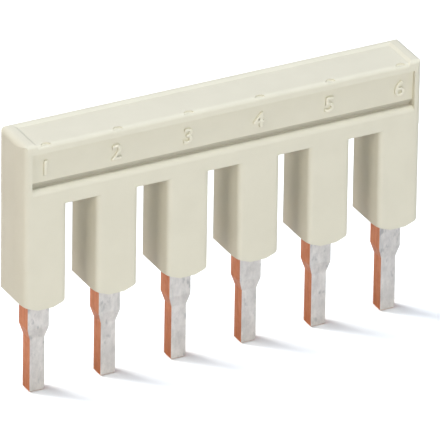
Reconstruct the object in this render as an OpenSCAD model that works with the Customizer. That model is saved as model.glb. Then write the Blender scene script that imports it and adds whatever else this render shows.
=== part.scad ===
// Insulated jumper bar for rail-mounted terminal blocks: a moulded housing round a stamped comb of prongs.
// X runs along the bar, Y from front to back and Z up from the prong tips. Sizes are in millimetres.

/* [Bar] */
// Number of poles that the bar joins
poles = 6; // [2:1:12]
// Distance from one pole to the next
pitch = 5; // [4:0.1:8]
// Depth of the housing from front to back
housing_d = 3.3; // [2.9:0.05:4.5]
// Radius of the housing's upright corners at the front
corner_r = 0.35; // [0.1:0.05:0.5]
// Radius of the housing's upright corners at the back
back_corner_r = 0.15; // [0.05:0.05:0.3]
// How far the housing's sides bow inwards at the front
bow_w = 0.22; // [0.1:0.01:0.35]
// Length of that bow, from the front towards the back
bow_l = 1.2; // [0.8:0.05:2]

/* [Legs] */
// Width of one leg
leg_w = 3.18; // [2.6:0.02:3.8]
// Length of a leg below the rail
leg_l = 7.15; // [4:0.05:12]
// Width of the bevel on each side of a leg's end
bevel_w = 1.05; // [0.4:0.05:1.3]
// Height of that bevel
bevel_h = 0.4; // [0.15:0.05:1.5]
// Radius of the corners of a leg's end
bevel_r = 0.08; // [0.04:0.01:0.2]

/* [Rail] */
// How far the rail stands out past the outer legs at each end
end_step = 0.02; // [0.01:0.01:0.2]
// Height of the plain strip between the legs and the slot
strip_h = 1.28; // [0.8:0.02:3]
// Radius of the strip's lower edges
under_r = 0.12; // [0.02:0.02:0.3]
// Radius of the strip's upper edge, which forms the slot's lip
lip_r = 0.35; // [0.05:0.05:0.45]
// Height of the slot
slot_h = 0.46; // [0.2:0.01:0.8]
// Depth of the slot
slot_depth = 0.75; // [0.6:0.05:0.75]
// How far the slot's bottom lies below its lip
slot_drop = 0.1; // [0.05:0.01:0.3]
// Height of the marking band
band_h = 2.13; // [1:0.01:3]
// Depth of the marking band
band_depth = 0.35; // [0.2:0.05:0.45]
// How much less deep the band is at its top
band_lean = 0.15; // [0:0.01:0.15]
// Width of the plain frame at each end of the band
frame_w = 0.62; // [0.4:0.02:1.5]
// Height of the brow above the band
brow_h = 0.58; // [0.5:0.01:1.5]
// How far the brow's face leans back over its height
brow_lean = 0.045; // [0:0.005:0.1]
// Radius of the brow's upper edge
brow_r = 0.3; // [0.1:0.02:0.4]
// Radius of the rail's upper edge at each end
end_r = 0.42; // [0.1:0.02:0.6]

/* [Top panel] */
// Height of the rim round the panel
rim_h = 0.12; // [0.05:0.01:0.3]
// Run of the slope from the panel up to the rim
rim_run = 0.22; // [0.05:0.01:0.22]
// Width of the rim along the back
back_rim_w = 0.46; // [0.35:0.01:1]
// Width of the rim at each end
end_rim_w = 1; // [0.8:0.05:2]
// Radius of the rim's inner edge
rim_r = 0.1; // [0.02:0.01:0.15]
// Radius of the rim's outer edge along the back
back_edge_r = 0.1; // [0.02:0.01:0.15]
// Radius of the half-round notch that marks each pole
notch_r = 0.37; // [0.2:0.01:0.8]
// Depth of that notch below the panel
notch_depth = 0.1; // [0.05:0.01:0.25]

/* [Prongs] */
// Length of a prong below the legs
prong_l = 6.47; // [4:0.01:10]
// Width of a prong above its shoulder
prong_w = 1.5; // [1.2:0.02:2]
// Thickness of the comb's metal
metal_t = 1.25; // [1:0.01:1.6]
// Width of a prong below its shoulder
tip_w = 1.04; // [0.6:0.02:1.2]
// Thickness of a prong below its shoulder
tip_t = 0.97; // [0.6:0.01:1]
// Height of the prong's thinner end
tip_l = 3.85; // [2:0.05:5]
// Height of the shoulder's taper
shoulder_h = 0.75; // [0.3:0.05:1.2]
// Chamfer round the end of a prong
tip_chamfer = 0.11; // [0.02:0.01:0.25]

/* [Comb inside the housing] */
// Plastic below the strip that joins the prongs
under_cover = 0.9; // [0.4:0.05:1.2]
// Plastic above that strip, up to the top panel
over_cover = 0.76; // [0.5:0.02:1]
// Gap between the metal and the plastic round it
comb_gap = 0.01; // [0.005:0.005:0.05]

/* [Hidden] */
$fn = 64;
// Segments of the large circle that the bow is part of
bow_fn = 360;

plastic_colour = [0.87, 0.86, 0.79];
copper_colour = [0.77, 0.48, 0.36];
// How far a cut runs past the face that it opens
past = 0.5;

span = (poles - 1) * pitch;
housing_l = span + leg_w + 2 * end_step;
front_y = -housing_d / 2;
back_y = housing_d / 2;
bow_r = (bow_l * bow_l + bow_w * bow_w) / (2 * bow_w);

leg_z = prong_l;
rail_z = leg_z + leg_l;
slot_z = rail_z + strip_h;
band_z = slot_z + slot_h;
brow_z = band_z + band_h;
panel_z = brow_z + brow_h;
top_z = panel_z + rim_h;

band_l = housing_l - 2 * frame_w;
panel_l = housing_l - 2 * end_rim_w;

comb_l = span + prong_w;
comb_z = rail_z + under_cover;
comb_top_z = panel_z - over_cover;

// Middle of each pole along the bar
pole_x = [for (i = [0:poles - 1]) i * pitch - span / 2];

function unit(v) = v / norm(v);

// The same points on the other side of the middle, in reverse order
function mirrored(points) = [for (i = [len(points) - 1:-1:0]) [-points[i].x, points[i].y]];

// Where the arc of radius r at corner b, between a and c, leaves the two edges, or just b where r is 0
function arc_ends(a, b, c, r) =
    let(u = unit(a - b), w = unit(c - b), reach = r / tan(acos(u * w) / 2))
    r == 0 ? [b] : [b + u * reach, b + w * reach];

// Middle of that arc
function arc_middle(a, b, c, r) =
    let(u = unit(a - b), w = unit(c - b))
    b + unit(u + w) * r / sin(acos(u * w) / 2);

// Convex outline with each corner rounded by its own radius
module soft_outline(points, radii) {
    n = len(points);
    function before(i) = points[(i + n - 1) % n];
    function after(i) = points[(i + 1) % n];
    polygon([for (i = [0:n - 1]) each arc_ends(before(i), points[i], after(i), radii[i])]);
    for (i = [0:n - 1])
        if (radii[i] > 0)
            translate(arc_middle(before(i), points[i], after(i), radii[i]))
                circle(radii[i]);
}

// Rectangle given by two opposite corners
module rect(low, high) {
    translate(low)
        square(high - low);
}

// Runs a side profile, drawn as (Y, Z), along the bar for the length l
module along_bar(l) {
    rotate([90, 0, 90])
        linear_extrude(l, center = true)
            children();
}

// Runs a front outline, drawn as (X, Z), from front to back for the depth d
module through_depth(d) {
    rotate([90, 0, 0])
        linear_extrude(d, center = true)
            children();
}

// Plan of a part of the housing: a rectangle of width w whose sides bow inwards towards the front
module plan(w) {
    half = w / 2;
    bow_middle = [half - bow_r, front_y + bow_l];
    corner_y = front_y + corner_r;
    corner_x = bow_middle.x + sqrt(pow(bow_r - corner_r, 2) - pow(bow_middle.y - corner_y, 2));
    bow_start = bow_middle + unit([corner_x, corner_y] - bow_middle) * bow_r;
    bow_end = [half, bow_middle.y];
    half_front = [[corner_x, front_y], bow_start, bow_end, [half, back_y - back_corner_r]];
    polygon([each half_front, each mirrored(half_front)]);
    soft_outline(
        [[-half, bow_end.y], [half, bow_end.y], [half, back_y], [-half, back_y]],
        [0, 0, back_corner_r, back_corner_r]
    );
    for (side = [0, 1])
        mirror([side, 0]) {
            translate([corner_x, corner_y])
                circle(corner_r);
            intersection() {
                translate(bow_middle)
                    circle(bow_r, $fn = bow_fn);
                rect([corner_x, bow_start.y], bow_end + [past, 0]);
            }
        }
}

// Side profile of the rail up to the height z, with the radius back_r at its upper edge behind
module rail_profile(z, back_r) {
    soft_outline(
        [[front_y, rail_z], [back_y, rail_z], [back_y, z], [front_y + brow_lean, z], [front_y, brow_z]],
        [under_r, under_r, back_r, brow_r, 0]
    );
}

// Front outline of the rail, with its upper corners rounded
module rail_outline() {
    half = housing_l / 2;
    soft_outline([[-half, rail_z], [half, rail_z], [half, top_z], [-half, top_z]], [0, 0, end_r, end_r]);
}

// Section of one side of the rim, from the foot of its inner slope at a to its outer side at b
module rim_section(a, b) {
    soft_outline(
        [[a, rail_z + under_r], [b, rail_z + under_r], [b, top_z], [a + rim_run, top_z], [a, panel_z]],
        [0, 0, 0, rim_r, 0]
    );
}

// The rim stands on the rail along its back and at both ends
module rim() {
    intersection() {
        union() {
            along_bar(housing_l)
                rim_section(back_y - back_rim_w, back_y);
            for (side = [0, 1])
                mirror([side, 0, 0])
                    through_depth(housing_d)
                        rim_section(panel_l / 2, housing_l / 2);
        }
        along_bar(housing_l)
            rail_profile(top_z, back_edge_r);
    }
}

// Rail with its rim and rounded ends, before the front is cut
module rail_blank() {
    intersection() {
        union() {
            along_bar(housing_l)
                rail_profile(panel_z, 0);
            rim();
        }
        through_depth(housing_d)
            rail_outline();
        linear_extrude(top_z)
            plan(housing_l);
    }
}

// One leg, which runs up into the rail as far as the strip does
module leg() {
    half = leg_w / 2;
    intersection() {
        linear_extrude(slot_z - lip_r)
            plan(leg_w);
        through_depth(housing_d)
            soft_outline(
                [
                    [-half, slot_z], [-half, leg_z + bevel_h], [-half + bevel_w, leg_z],
                    [half - bevel_w, leg_z], [half, leg_z + bevel_h], [half, slot_z]
                ],
                [0, bevel_r, bevel_r, bevel_r, bevel_r, 0]
            );
    }
}

// Side profile of what is cut from the rail's front: the band, the slot under it and the round of the lip
module front_cut() {
    polygon([
        [front_y - past, band_z], [front_y + band_depth, band_z],
        [front_y + band_depth - band_lean, brow_z], [front_y - past, brow_z]
    ]);
    polygon([
        [front_y - past, slot_z], [front_y + lip_r, slot_z], [front_y + slot_depth, slot_z - slot_drop],
        [front_y + band_depth, band_z], [front_y - past, band_z]
    ]);
    difference() {
        rect([front_y - past, slot_z - lip_r], [front_y + lip_r, slot_z]);
        translate([front_y + lip_r, slot_z - lip_r])
            circle(lip_r);
    }
}

// Room for the comb inside the housing
module comb_room() {
    translate([0, 0, comb_z - comb_gap])
        linear_extrude(comb_top_z - comb_z + 2 * comb_gap)
            square([comb_l, metal_t] + 2 * [comb_gap, comb_gap], center = true);
    for (x = pole_x)
        translate([x, 0, leg_z - past])
            linear_extrude(comb_z - leg_z + past)
                square([prong_w, metal_t] + 2 * [comb_gap, comb_gap], center = true);
}

module insulating_housing() {
    color(plastic_colour)
        difference() {
            union() {
                rail_blank();
                for (x = pole_x)
                    translate([x, 0, 0])
                        leg();
            }
            along_bar(band_l)
                front_cut();
            for (x = pole_x)
                translate([x, front_y, panel_z - notch_depth])
                    cylinder(r = notch_r, h = rim_h + notch_depth + past);
            comb_room();
        }
}

// Outline of a prong up to the height z, from the front or the side, given its upper and its end size
module prong_outline(upper, end, z) {
    polygon([
        [-end / 2 + tip_chamfer, 0], [end / 2 - tip_chamfer, 0], [end / 2, tip_chamfer], [end / 2, tip_l],
        [upper / 2, tip_l + shoulder_h], [upper / 2, z], [-upper / 2, z], [-upper / 2, tip_l + shoulder_h],
        [-end / 2, tip_l], [-end / 2, tip_chamfer]
    ]);
}

module contact_comb() {
    color(copper_colour)
        intersection() {
            through_depth(metal_t)
                union() {
                    rect([-comb_l / 2, comb_z], [comb_l / 2, comb_top_z]);
                    for (x = pole_x)
                        translate([x, 0])
                            prong_outline(prong_w, tip_w, comb_top_z);
                }
            along_bar(comb_l)
                prong_outline(metal_t, tip_t, comb_top_z);
        }
}

insulating_housing();
contact_comb();
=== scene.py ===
"""Looks of the terminal block jumper bar: its finishes, pole numbers, floor, light and camera."""

import math

import bpy
from mathutils import Matrix, Vector


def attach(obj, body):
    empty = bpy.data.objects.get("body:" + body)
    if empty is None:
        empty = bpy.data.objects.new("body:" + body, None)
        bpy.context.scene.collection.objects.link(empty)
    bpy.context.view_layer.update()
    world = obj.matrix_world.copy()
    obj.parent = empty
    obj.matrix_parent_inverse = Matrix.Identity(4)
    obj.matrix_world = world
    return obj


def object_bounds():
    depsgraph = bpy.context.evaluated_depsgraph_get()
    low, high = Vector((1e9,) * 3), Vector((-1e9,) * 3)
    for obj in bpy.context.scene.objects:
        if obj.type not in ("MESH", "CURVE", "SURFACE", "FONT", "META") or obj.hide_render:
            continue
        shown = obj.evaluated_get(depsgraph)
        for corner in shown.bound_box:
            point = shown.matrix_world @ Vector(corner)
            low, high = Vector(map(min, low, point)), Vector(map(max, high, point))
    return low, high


MM = 0.001

# The bar's design sizes, as in the CAD model
POLES = 6
PITCH = 5 * MM
BAND_DEPTH = 0.35 * MM
BAND_LEAN = 0.15 * MM
BAND_BOTTOM = 15.36 * MM
BAND_HEIGHT = 2.13 * MM
FRAME_WIDTH = 0.62 * MM
SLOT_DEPTH = 0.75 * MM
SLOT_FLOOR = 14.8 * MM

# Room left below the slot's floor when its walls are picked out by height for painted shade
SLOT_MARGIN = 0.05 * MM

# Pole numbers on the marking band
NUMBER_HEIGHT = 1.1 * MM
NUMBER_RISE = 0.5 * MM
NUMBER_RELIEF = 0.16 * MM
NUMBER_SINK = 0.02 * MM
NUMBER_EDGE = 0.06 * MM
NUMBER_EDGE_STEPS = 2
NUMBER_BOLD = 0.025 * MM
# Height of the built-in font's figures as a share of the text size
FIGURE_SHARE = 0.729

# Colours: linear red, green, blue and alpha
PLASTIC_DARK = (0.699, 0.664, 0.534, 1)
PLASTIC_LIGHT = (0.719, 0.684, 0.551, 1)
# Painted highlight: the raised figures are coloured lighter than the housing, standing in for the
# light their strokes catch
FIGURE_HIGHLIGHT_DARK = (0.77, 0.733, 0.593, 1)
FIGURE_HIGHLIGHT_LIGHT = (0.79, 0.753, 0.608, 1)
# Painted light and shade in the slot under the band: a lighter tone at its foot, a darker one up
# its wall
SLOT_FOOT_PAINTED_LIGHT = (0.745, 0.713, 0.625, 1)
SLOT_WALL_PAINTED_SHADE = (0.60, 0.568, 0.462, 1)
TIN_DARK = (0.577, 0.541, 0.503, 1)
TIN_LIGHT = (0.747, 0.70, 0.65, 1)
TIN_SCUFF = (0.33, 0.32, 0.31, 1)
COPPER_DARK = (0.575, 0.188, 0.08, 1)
COPPER_LIGHT = (0.685, 0.26, 0.117, 1)
FLOOR_DARK = (0.805, 0.822, 0.824, 1)
FLOOR_LIGHT = (0.825, 0.842, 0.844, 1)
FLOOR_GLOW = (0.825, 0.79, 0.78, 1)

# Noise scales, about the number of features in a metre
CLOUD_SCALE = 450.0
PLASTIC_SHEEN_SCALE = 1400.0
PLASTIC_GRAIN_SCALE = 14000.0
MOTTLE_SCALE = 1700.0
SCUFF_SCALE = 2300.0
STREAK_SCALE = 5000.0
METAL_SHEEN_SCALE = 2600.0
METAL_GRAIN_SCALE = 9000.0
FLOOR_SCALE = 30.0

GRAIN_DEPTH = 0.01 * MM
# How much the tin's marks and the copper's shear lines are drawn out along the prongs
TIN_STRETCH = (1.0, 1.0, 0.5)
COPPER_STRETCH = (1.0, 1.0, 0.12)
# How squarely a face looks to the front or back where the tin starts and where it is full
TIN_STARTS = 0.55
TIN_FULL = 0.75
# Levels of the noise where a scuff starts and where it is full, and how much of the tin it hides
SCUFF_STARTS = 0.6
SCUFF_FULL = 0.72
SCUFF_COVER = 0.6

# Gloss: the least and the greatest roughness, and the plastic's specular level
PLASTIC_ROUGHNESS = (0.44, 0.54)
METAL_ROUGHNESS = (0.36, 0.52)
PLASTIC_SPECULAR = 0.2

# The photograph's camera: angles in degrees, focal length in pixels of the 440-pixel image
CAMERA_YAW = 27.58
CAMERA_ELEVATION = 27.83
CAMERA_ROLL = 0.874
CAMERA_DISTANCE = 739.13 * MM
CAMERA_TARGET = Vector((0.599, 0, 9.0)) * MM
CAMERA_REACH = 10
FOCAL_PX = 11694
IMAGE_PX = 440
SENSOR_MM = 36

FLOOR_SIZE = 4.0
LIGHT_TARGET = Vector((0, 0, 10)) * MM
WHITE_LIGHT = (1, 1, 1)
PALE_LIGHT = (0.985, 1.035, 1.045)
COOL_LIGHT = (0.955, 1.015, 1.17)
WARM_LIGHT = (1.05, 0.983, 0.875)

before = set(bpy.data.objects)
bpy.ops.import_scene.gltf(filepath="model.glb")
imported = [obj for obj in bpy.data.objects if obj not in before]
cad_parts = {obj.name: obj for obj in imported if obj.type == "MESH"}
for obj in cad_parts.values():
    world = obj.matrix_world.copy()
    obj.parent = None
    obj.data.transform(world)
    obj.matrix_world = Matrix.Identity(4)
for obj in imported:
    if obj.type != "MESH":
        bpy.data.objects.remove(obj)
cad_low, cad_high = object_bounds()


def new_material(name):
    """An empty node material and its tree."""
    material = bpy.data.materials.new(name)
    material.use_nodes = True
    material.node_tree.nodes.clear()
    return material, material.node_tree


def add_node(tree, kind, inputs=None, **settings):
    """Adds a shader node. Inputs are numbers, colours or the outputs of other nodes."""
    node = tree.nodes.new(kind)
    for name, value in settings.items():
        setattr(node, name, value)
    for name, value in (inputs or {}).items():
        if isinstance(value, bpy.types.NodeSocket):
            tree.links.new(value, node.inputs[name])
        else:
            node.inputs[name].default_value = value
    return node


def math_node(tree, operation, a, b=0.0, c=0.0):
    """The result of a sum, product or comparison."""
    node = add_node(tree, "ShaderNodeMath", {0: a, 1: b, 2: c}, operation=operation)
    return node.outputs[0]


def within(tree, value, low, high):
    """1 where a value lies from low to high, else 0."""
    return math_node(tree, "COMPARE", value, (low + high) / 2, (high - low) / 2)


def noise(tree, vector, scale, detail=3.0, roughness=0.55):
    """Fractal noise from 0 to 1 over the given coordinates."""
    inputs = {"Vector": vector, "Scale": scale, "Detail": detail, "Roughness": roughness}
    return add_node(tree, "ShaderNodeTexNoise", inputs).outputs["Fac"]


def ramp(tree, value, low, high, from_low=0.35, from_high=0.65):
    """Maps a range of a value, by default the middle of a noise, to the range from low to high."""
    inputs = {
        "Value": value, "From Min": from_low, "From Max": from_high, "To Min": low, "To Max": high,
    }
    return add_node(tree, "ShaderNodeMapRange", inputs).outputs["Result"]


def mix_colour(tree, factor, a, b):
    """Blends two colours, each a tuple or the output of another node."""
    node = add_node(tree, "ShaderNodeMix", data_type="RGBA")
    colour_sockets = [s for s in node.inputs if s.type == "RGBA"]
    factor_socket = next(s for s in node.inputs if s.type == "VALUE" and s.name == "Factor")
    for socket, value in zip([factor_socket] + colour_sockets, (factor, a, b)):
        if isinstance(value, bpy.types.NodeSocket):
            tree.links.new(value, socket)
        else:
            socket.default_value = value
    return next(s for s in node.outputs if s.type == "RGBA")


def object_coordinates(tree):
    """A point's place in its object's own frame."""
    return add_node(tree, "ShaderNodeTexCoord").outputs["Object"]


def split(tree, vector):
    """The X, Y and Z outputs of a vector."""
    return add_node(tree, "ShaderNodeSeparateXYZ", {"Vector": vector}).outputs


def stretched(tree, vector, scale):
    """Coordinates for a pattern that is drawn out along an axis."""
    return add_node(tree, "ShaderNodeMapping", {"Vector": vector, "Scale": scale}).outputs["Vector"]


def grain_normal(tree, place, scale, detail, strength):
    """Normals of a surface with a fine grain."""
    height = noise(tree, place, scale, detail=detail)
    inputs = {"Strength": strength, "Distance": GRAIN_DEPTH, "Height": height}
    return add_node(tree, "ShaderNodeBump", inputs).outputs["Normal"]


def finish_surface(tree, shader):
    """Makes a shader the material's surface."""
    add_node(tree, "ShaderNodeOutputMaterial", {"Surface": shader.outputs[0]})


def slot_mask(tree, at):
    """1 on the walls of the slot under the marking band, where shade is painted, else 0."""
    slot_end = cad_high.x - FRAME_WIDTH
    along = within(tree, at["X"], -slot_end, slot_end)
    deep = within(tree, at["Y"], cad_low.y + BAND_DEPTH, cad_low.y + SLOT_DEPTH)
    upright = within(tree, at["Z"], SLOT_FLOOR - SLOT_MARGIN, BAND_BOTTOM)
    return math_node(tree, "MULTIPLY", math_node(tree, "MULTIPLY", along, deep), upright)


def tone_slot(tree, place, colour):
    """The colour with painted shade on the slot's walls, darker from the foot up, and painted light
    at the foot.
    """
    at = split(tree, place)
    slot_middle = (SLOT_FLOOR + BAND_BOTTOM) / 2
    height = ramp(tree, at["Z"], 0.0, 1.0, from_low=SLOT_FLOOR, from_high=slot_middle)
    tone = mix_colour(tree, height, SLOT_FOOT_PAINTED_LIGHT, SLOT_WALL_PAINTED_SHADE)
    return mix_colour(tree, slot_mask(tree, at), colour, tone)


def plastic_material(name, dark, light, with_slot_shade):
    """Light warm-grey moulded plastic: satin, faintly clouded, with a fine eroded grain; where
    asked, with painted shade on the slot's walls.
    """
    material, tree = new_material(name)
    place = object_coordinates(tree)
    clouds = ramp(tree, noise(tree, place, CLOUD_SCALE), 0.0, 1.0)
    colour = mix_colour(tree, clouds, dark, light)
    # Painted shade on the slot's walls, with painted light at their foot
    if with_slot_shade:
        colour = tone_slot(tree, place, colour)
    roughness = ramp(tree, noise(tree, place, PLASTIC_SHEEN_SCALE), *PLASTIC_ROUGHNESS)
    normal = grain_normal(tree, place, PLASTIC_GRAIN_SCALE, detail=2.0, strength=0.12)
    shader = add_node(
        tree, "ShaderNodeBsdfPrincipled",
        {
            "Base Color": colour, "Roughness": roughness, "Specular IOR Level": PLASTIC_SPECULAR,
            "Normal": normal,
        },
    )
    finish_surface(tree, shader)
    return material


def tin_colour(tree, place):
    """Mottled tin with a few dark scuffs."""
    drawn = stretched(tree, place, TIN_STRETCH)
    mottle = ramp(tree, noise(tree, drawn, MOTTLE_SCALE, detail=5.0, roughness=0.7), 0.0, 1.0)
    clean = mix_colour(tree, mottle, TIN_DARK, TIN_LIGHT)
    blotches = noise(tree, drawn, SCUFF_SCALE, detail=2.0)
    scuffs = ramp(tree, blotches, 0.0, SCUFF_COVER, from_low=SCUFF_STARTS, from_high=SCUFF_FULL)
    return mix_colour(tree, scuffs, clean, TIN_SCUFF)


def copper_colour(tree, place):
    """Bare copper with the lines of the shear."""
    drawn = stretched(tree, place, COPPER_STRETCH)
    streaks = ramp(tree, noise(tree, drawn, STREAK_SCALE, detail=4.0), 0.0, 1.0)
    return mix_colour(tree, streaks, COPPER_DARK, COPPER_LIGHT)


def comb_material():
    """Stamped copper strip: tin on its front and back faces, bare copper on its sheared edges."""
    material, tree = new_material("comb_metal")
    place = object_coordinates(tree)
    normal = add_node(tree, "ShaderNodeTexCoord").outputs["Normal"]
    facing = math_node(tree, "ABSOLUTE", split(tree, normal)["Y"])
    tinned = ramp(tree, facing, 0.0, 1.0, from_low=TIN_STARTS, from_high=TIN_FULL)
    colour = mix_colour(tree, tinned, copper_colour(tree, place), tin_colour(tree, place))
    roughness = ramp(tree, noise(tree, place, METAL_SHEEN_SCALE, detail=4.0), *METAL_ROUGHNESS)
    rough_normal = grain_normal(tree, place, METAL_GRAIN_SCALE, detail=3.0, strength=0.15)
    shader = add_node(
        tree, "ShaderNodeBsdfPrincipled",
        {"Base Color": colour, "Metallic": 1.0, "Roughness": roughness, "Normal": rough_normal},
    )
    finish_surface(tree, shader)
    return material


def seen_directly(tree):
    """1 for what the camera sees, also by reflection or through glass, and 0 for other light."""
    path = add_node(tree, "ShaderNodeLightPath").outputs
    seen = math_node(tree, "MAXIMUM", path["Is Camera Ray"], path["Is Glossy Ray"])
    return math_node(tree, "MAXIMUM", seen, path["Is Transmission Ray"])


def floor_material():
    """Pale, faintly blue floor, which throws a warmer light back on the bar."""
    material, tree = new_material("pale_floor")
    place = object_coordinates(tree)
    pale = mix_colour(tree, noise(tree, place, FLOOR_SCALE), FLOOR_DARK, FLOOR_LIGHT)
    tone = mix_colour(tree, seen_directly(tree), FLOOR_GLOW, pale)
    finish_surface(tree, add_node(tree, "ShaderNodeBsdfDiffuse", {"Color": tone}))
    return material


def white_world():
    """Surroundings that show as white and give no light of their own."""
    world = bpy.data.worlds.new("studio")
    bpy.context.scene.world = world
    world.use_nodes = True
    tree = world.node_tree
    tree.nodes.clear()
    glow = add_node(tree, "ShaderNodeBackground", {"Strength": seen_directly(tree)})
    add_node(tree, "ShaderNodeOutputWorld", {"Surface": glow.outputs[0]})


def soft_box(name, azimuth, elevation, distance, size, power, colour=WHITE_LIGHT):
    """A square lamp aimed at the bar. Azimuth is in degrees to the left of the front."""
    turn, lift = math.radians(azimuth), math.radians(elevation)
    outward = Vector((
        -math.sin(turn) * math.cos(lift), -math.cos(turn) * math.cos(lift), math.sin(lift),
    ))
    lamp = bpy.data.lights.new(name, "AREA")
    lamp.size = size
    lamp.energy = power
    lamp.color = colour
    lamp_object = bpy.data.objects.new(name, lamp)
    lamp_object.location = LIGHT_TARGET + outward * distance
    lamp_object.rotation_euler = (-outward).to_track_quat("-Z", "Y").to_euler()
    lamp_object.visible_camera = False
    bpy.context.scene.collection.objects.link(lamp_object)
    return lamp_object


def light_group(name, member):
    """A collection of one object, for a lamp that treats it apart."""
    group = bpy.data.collections.new(name)
    group.objects.link(member)
    return group


def keep_to_floor(lamp_object, floor, shader):
    """Lets a lamp light the floor alone, shaded by one object, with nothing thrown back."""
    lamp_object.light_linking.receiver_collection = light_group("lit_floor", floor)
    lamp_object.light_linking.blocker_collection = light_group("shades_floor", shader)
    lamp_object.data.cycles.max_bounces = 0


def lay_floor():
    """A wide floor at the level of the prong tips."""
    mesh = bpy.data.meshes.new("floor")
    half = FLOOR_SIZE / 2
    plan = [(-half, -half), (half, -half), (half, half), (-half, half)]
    mesh.from_pydata([(x, y, cad_low.z) for x, y in plan], [], [(0, 1, 2, 3)])
    mesh.materials.append(floor_material())
    floor = bpy.data.objects.new("floor", mesh)
    bpy.context.scene.collection.objects.link(floor)
    return floor


def dress_node(name, material):
    """Gives a CAD node its finish."""
    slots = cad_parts[name].data.materials
    slots.clear()
    slots.append(material)


def figure_mesh(name, figure):
    """A raised figure with rounded strokes, lying flat."""
    text = bpy.data.curves.new(name, "FONT")
    text.body = figure
    text.align_x = "CENTER"
    text.size = NUMBER_HEIGHT / FIGURE_SHARE
    text.extrude = (NUMBER_RELIEF + NUMBER_SINK) / 2 - NUMBER_EDGE
    text.bevel_depth = NUMBER_EDGE
    text.offset = NUMBER_BOLD - NUMBER_EDGE
    text.bevel_resolution = NUMBER_EDGE_STEPS
    maker = bpy.data.objects.new("number_maker", text)
    bpy.context.scene.collection.objects.link(maker)
    bpy.context.view_layer.update()
    made = maker.evaluated_get(bpy.context.evaluated_depsgraph_get())
    mesh = bpy.data.meshes.new_from_object(made)
    bpy.data.objects.remove(maker)
    mesh.name = name
    return mesh


def pole_number(pole, material):
    """A raised figure on the marking band, over the middle of its pole."""
    name = f"pole_number_{pole}"
    mesh = figure_mesh(name, str(pole))
    mesh.materials.clear()
    mesh.materials.append(material)
    number = bpy.data.objects.new(name, mesh)
    bpy.context.scene.collection.objects.link(number)
    pole_x = (pole - (POLES + 1) / 2) * PITCH
    band_foot = Matrix.Translation((pole_x, cad_low.y + BAND_DEPTH, BAND_BOTTOM))
    lean = math.atan2(BAND_LEAN, BAND_HEIGHT)
    stand_up = Matrix.Rotation(math.radians(90) + lean, 4, "X")
    on_band = Matrix.Translation((0, NUMBER_RISE, (NUMBER_RELIEF - NUMBER_SINK) / 2))
    number.matrix_world = band_foot @ stand_up @ on_band
    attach(number, "root")


def photo_camera():
    """The photograph's own camera: long lens, to the left of the front and above."""
    yaw, lift, roll = (math.radians(a) for a in (CAMERA_YAW, CAMERA_ELEVATION, CAMERA_ROLL))
    ahead = Vector((
        math.sin(yaw) * math.cos(lift), math.cos(yaw) * math.cos(lift), -math.sin(lift),
    ))
    level_right = Vector((math.cos(yaw), -math.sin(yaw), 0))
    level_up = level_right.cross(ahead)
    right = level_right * math.cos(roll) + level_up * math.sin(roll)
    up = level_up * math.cos(roll) - level_right * math.sin(roll)
    turn = Matrix((right, up, -ahead)).transposed().to_4x4()
    lens = bpy.data.cameras.new("camera")
    lens.sensor_width = SENSOR_MM
    lens.lens = FOCAL_PX * SENSOR_MM / IMAGE_PX
    lens.clip_end = CAMERA_REACH
    camera = bpy.data.objects.new("camera", lens)
    camera.matrix_world = Matrix.Translation(CAMERA_TARGET - ahead * CAMERA_DISTANCE) @ turn
    bpy.context.scene.collection.objects.link(camera)
    bpy.context.scene.camera = camera


plastic = plastic_material("housing_plastic", PLASTIC_DARK, PLASTIC_LIGHT, with_slot_shade=True)
# The raised figures get a lighter copy of the plastic, a painted highlight for the light on their
# strokes
highlighted_plastic = plastic_material("figure_plastic_painted_highlight", FIGURE_HIGHLIGHT_DARK, FIGURE_HIGHLIGHT_LIGHT, with_slot_shade=False)
dress_node("insulating_housing", plastic)
dress_node("contact_comb", comb_material())
for pole in range(1, POLES + 1):
    pole_number(pole, highlighted_plastic)

floor = lay_floor()
white_world()
soft_box(
    "front", azimuth=0, elevation=27, distance=0.5, size=0.25, power=1.31, colour=PALE_LIGHT,
)
soft_box(
    "over", azimuth=0, elevation=86, distance=0.5, size=0.25, power=1.68, colour=COOL_LIGHT,
)
soft_box(
    "left", azimuth=66, elevation=30, distance=0.35, size=0.085, power=0.2, colour=WARM_LIGHT,
)
soft_box(
    "rear_left", azimuth=118, elevation=30, distance=0.35, size=0.175, power=0.34,
    colour=WARM_LIGHT,
)
soft_box("rear", azimuth=188, elevation=10, distance=0.5, size=0.15, power=0.34)
floor_lamp = soft_box(
    "floor_lamp", azimuth=139, elevation=42, distance=0.5, size=0.18, power=3.2,
)
keep_to_floor(floor_lamp, floor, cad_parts["contact_comb"])
photo_camera()
bpy.context.scene.view_settings.view_transform = "Standard"
